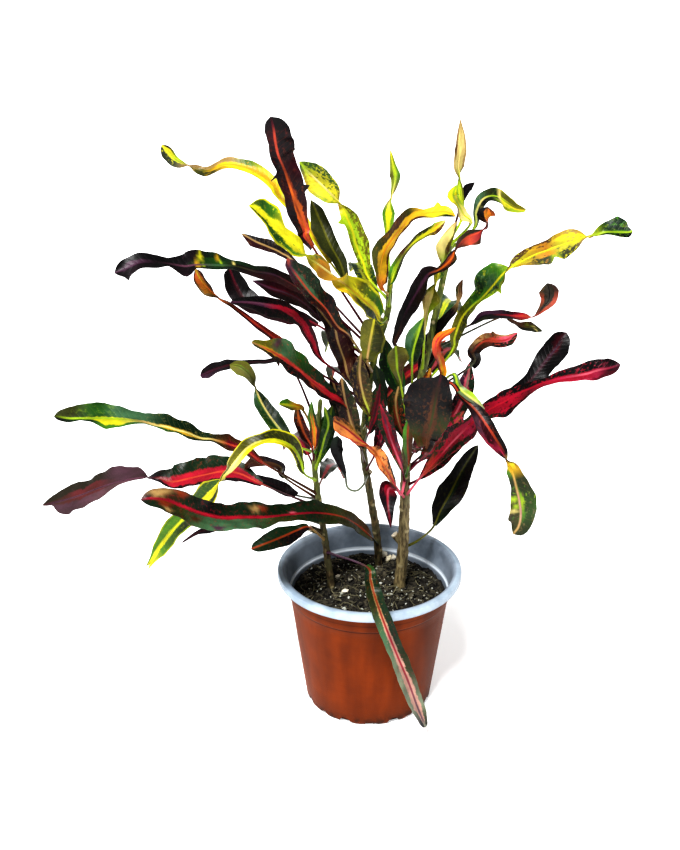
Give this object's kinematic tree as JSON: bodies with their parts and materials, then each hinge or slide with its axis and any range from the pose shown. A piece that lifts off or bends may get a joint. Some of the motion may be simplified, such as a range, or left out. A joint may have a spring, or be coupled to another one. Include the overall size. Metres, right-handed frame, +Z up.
{
  "type": "potted croton",
  "caption": "Potted croton house plant with narrow, twisted and waved leaves in yellow, green, crimson and dark maroon, in a terracotta-coloured plastic nursery pot.",
  "frame": {"origin": "middle of the pot's flat base, on the surface that it stands on", "axes": "+Z up along the pot's axis, -Y towards the viewer of the picture, +X to the viewer's right"},
  "size_m": [0.4625, 0.2893, 0.4931],
  "materials": {
    "pot_plastic": "satin terracotta outside, blue-grey inside and on the rim",
    "potting_soil": "rough dark potting mix with pale grains",
    "green_leaf": "glossy leaf, green with yellow and crimson markings",
    "maroon_leaf": "glossy leaf, dark maroon with crimson and yellow markings",
    "yellow_green_leaf": "glossy leaf, yellow and green with orange and crimson markings"
  },
  "bodies": {
    "root": {"pot": "pot_plastic", "soil": "potting_soil", "leafy_stem_left": "green_leaf", "leafy_stem_middle": "maroon_leaf", "leafy_stem_right": "yellow_green_leaf"}
  },
  "joints": []
}
